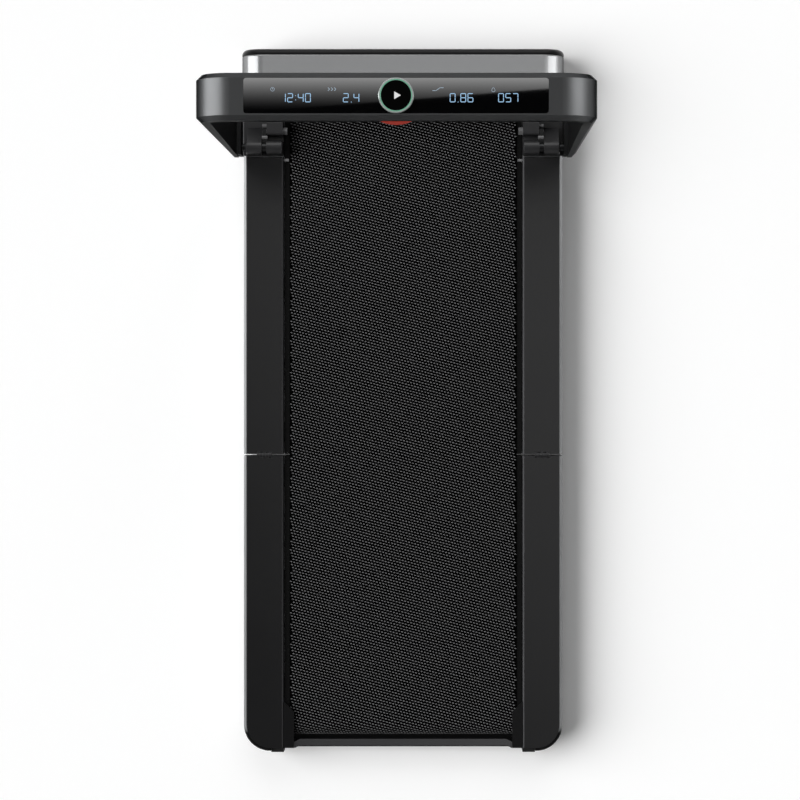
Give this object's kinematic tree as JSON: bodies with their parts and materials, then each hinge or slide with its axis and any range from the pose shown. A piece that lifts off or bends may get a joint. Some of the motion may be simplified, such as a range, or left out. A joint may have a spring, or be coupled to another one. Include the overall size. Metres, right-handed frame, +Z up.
{
  "type": "walking pad",
  "caption": "Flat under-desk walking treadmill whose deck folds in half over a belt, with an upright folding handrail that carries a console bar with a display and a rotary knob.",
  "frame": {"origin": "on the floor under the middle of the unfolded machine", "axes": "+X to the user's right, +Y towards the motor end along the belt, +Z up"},
  "size_m": [0.712, 1.45, 0.89],
  "materials": {
    "aluminium_strip": "satin anodised",
    "black_step": "fine-grained black",
    "board_wood": "dark laminate",
    "walking_belt": "matt black with a fine diamond texture",
    "soft_rubber": "matt black",
    "frame_steel": "black powder coat",
    "black_moulding": "satin black",
    "base_casting": "as cast",
    "silver_hood": "silver-grey metallic",
    "motor_can": "black",
    "bright_steel": "bright zinc",
    "circuit": "solder mask",
    "heat_sink": "bare",
    "hinge_casting": "black coat",
    "post_grey": "dark grey metallic",
    "console_grey": "dark grey metallic",
    "display_black": "black gloss",
    "knob_metal": "brushed ring with a lit edge",
    "knob_black": "satin black",
    "key_red": "red",
    "switch_black": "black",
    "wheel_black": "black"
  },
  "bodies": {
    "front_deck": {"side_rail_front_left": "aluminium_strip", "side_rail_front_right": "aluminium_strip", "foot_rail_front_left": "black_step", "foot_rail_front_right": "black_step", "running_board_front": "board_wood", "cushions_front": "soft_rubber", "cross_members_front": "frame_steel", "belly_pan_front": "black_moulding", "belt_front": "walking_belt", "feet_front": "soft_rubber", "fold_hinge_front": "hinge_casting", "front_roller_axle": "bright_steel", "front_base": "base_casting", "motor_cover": "silver_hood", "front_trim": "black_moulding", "motor_housing": "motor_can", "drive_belt": "soft_rubber", "controller_board": "heat_sink", "power_inlet": "black_moulding", "wheel_axles": "bright_steel", "hinge_base_left": "hinge_casting", "hinge_base_right": "hinge_casting", "stop_blocks": "black_moulding", "stop_bolts": "bright_steel"},
    "handrail": {"hinge_arm_left": "post_grey", "hinge_arm_right": "post_grey", "post_left": "post_grey", "post_right": "post_grey", "console_shell": "console_grey", "console_lower_cover": "black_moulding", "display_glass": "display_black", "display_board": "circuit"},
    "knob_ring": {"knob_ring": "knob_metal"},
    "knob_button": {"knob_button": "knob_black"},
    "safety_key": {"safety_key": "key_red"},
    "front_roller": {"front_roller": "bright_steel", "roller_bearings_front": "bright_steel"},
    "rear_roller": {"rear_roller": "bright_steel", "roller_bearings_rear": "bright_steel"},
    "motor_rotor": {"motor_rotor": "bright_steel"},
    "wheel_left": {"wheel_left": "wheel_black"},
    "wheel_right": {"wheel_right": "wheel_black"},
    "power_switch": {"power_switch": "switch_black"},
    "rear_deck": {"side_rail_rear_left": "aluminium_strip", "side_rail_rear_right": "aluminium_strip", "foot_rail_rear_left": "black_step", "foot_rail_rear_right": "black_step", "running_board_rear": "board_wood", "cushions_rear": "soft_rubber", "cross_members_rear": "frame_steel", "belly_pan_rear": "black_moulding", "belt_rear": "walking_belt", "feet_rear": "soft_rubber", "fold_hinge_rear": "hinge_casting", "rear_roller_axle": "bright_steel", "end_cap_left": "black_moulding", "end_cap_right": "black_moulding", "tension_bolts": "bright_steel", "rear_bar": "frame_steel", "rear_bumpers": "soft_rubber"}
  },
  "joints": [
    {"name": "deck_fold", "type": "hinge", "parent": "front_deck", "child": "rear_deck", "pos_m": [0, -0.11, 0.077], "axis": [-1, 0, 0], "range_deg": [0, 180]},
    {"name": "handrail_fold", "type": "hinge", "parent": "front_deck", "child": "handrail", "pos_m": [0, 0.5225, 0.106], "axis": [1, 0, 0], "range_deg": [0, 90]},
    {"name": "knob_turn", "type": "hinge", "parent": "handrail", "child": "knob_ring", "pos_m": [0, 0.5465, 0.887], "axis": [0, 0, 1], "continuous": true},
    {"name": "knob_press", "type": "slide", "parent": "handrail", "child": "knob_button", "axis": [0, 0, -1], "range_m": [0, 0.0012], "stiffness_N_per_m": 600, "springref_m": -0.002},
    {"name": "key_pull", "type": "slide", "parent": "handrail", "child": "safety_key", "axis": [0, -1, 0], "range_m": [0, 0.006]},
    {"name": "front_roller_turn", "type": "hinge", "parent": "front_deck", "child": "front_roller", "pos_m": [0, 0.612, 0.047], "axis": [1, 0, 0], "continuous": true},
    {"name": "rear_roller_turn", "type": "hinge", "parent": "rear_deck", "child": "rear_roller", "pos_m": [0, -0.667, 0.047], "axis": [1, 0, 0], "continuous": true},
    {"name": "motor_turn", "type": "hinge", "parent": "front_deck", "child": "motor_rotor", "pos_m": [0, 0.675, 0.062], "axis": [1, 0, 0], "continuous": true},
    {"name": "wheel_left_turn", "type": "hinge", "parent": "front_deck", "child": "wheel_left", "pos_m": [-0.3, 0.678, 0.0265], "axis": [1, 0, 0], "continuous": true},
    {"name": "wheel_right_turn", "type": "hinge", "parent": "front_deck", "child": "wheel_right", "pos_m": [0.3, 0.678, 0.0265], "axis": [1, 0, 0], "continuous": true},
    {"name": "switch_rock", "type": "hinge", "parent": "front_deck", "child": "power_switch", "pos_m": [0.209, 0.72, 0.082], "axis": [1, 0, 0], "range_deg": [0, 16]}
  ],
  "couplings": [
    {"joint": "rear_roller_turn", "follows": "front_roller_turn", "ratio": 1},
    {"joint": "motor_turn", "follows": "front_roller_turn", "ratio": 2.2}
  ]
}
